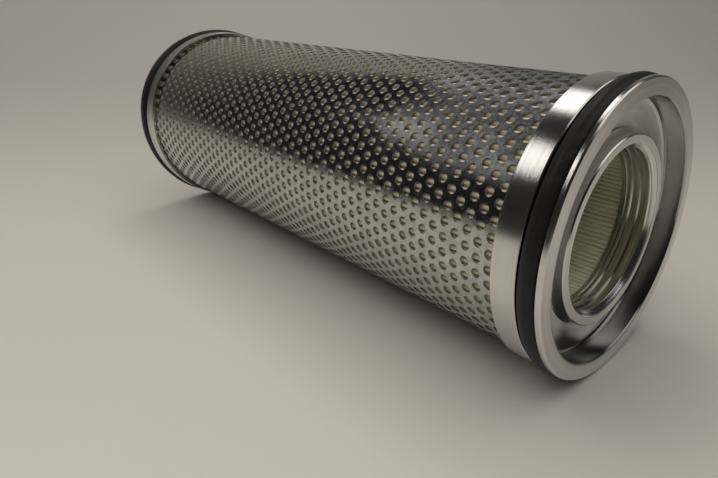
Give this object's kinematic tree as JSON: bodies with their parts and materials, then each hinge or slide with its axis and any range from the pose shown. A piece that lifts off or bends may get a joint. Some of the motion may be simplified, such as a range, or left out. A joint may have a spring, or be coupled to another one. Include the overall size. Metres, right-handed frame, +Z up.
{
  "type": "compressed air filter element",
  "caption": "Pleated compressed air filter element in a perforated support tube, with turned end caps, one open through a raised neck, and a seal on each cap.",
  "frame": {"origin": "centre of the footprint on the surface the cartridge lies on", "axes": "+X along the cartridge axis towards the open end, +Z up"},
  "size_m": [0.403, 0.1514, 0.1515],
  "materials": {
    "end_cap_metal": "turned, fine circumferential lines",
    "seal_rubber": "smooth, slightly glossy",
    "galvanised_sheet": "galvanised with a faint spangle",
    "filter_medium": "matt fibrous sheet",
    "clip_metal": "plain bright strip",
    "resin": "cast resin"
  },
  "bodies": {
    "root": {"open_end_cap": "end_cap_metal", "closed_end_cap": "end_cap_metal", "open_end_seal": "seal_rubber", "closed_end_seal": "seal_rubber", "outer_support_tube": "galvanised_sheet", "pleated_filter_medium": "filter_medium", "medium_seam_clip": "clip_metal", "open_end_bonding_resin": "resin", "closed_end_bonding_resin": "resin"}
  },
  "joints": []
}
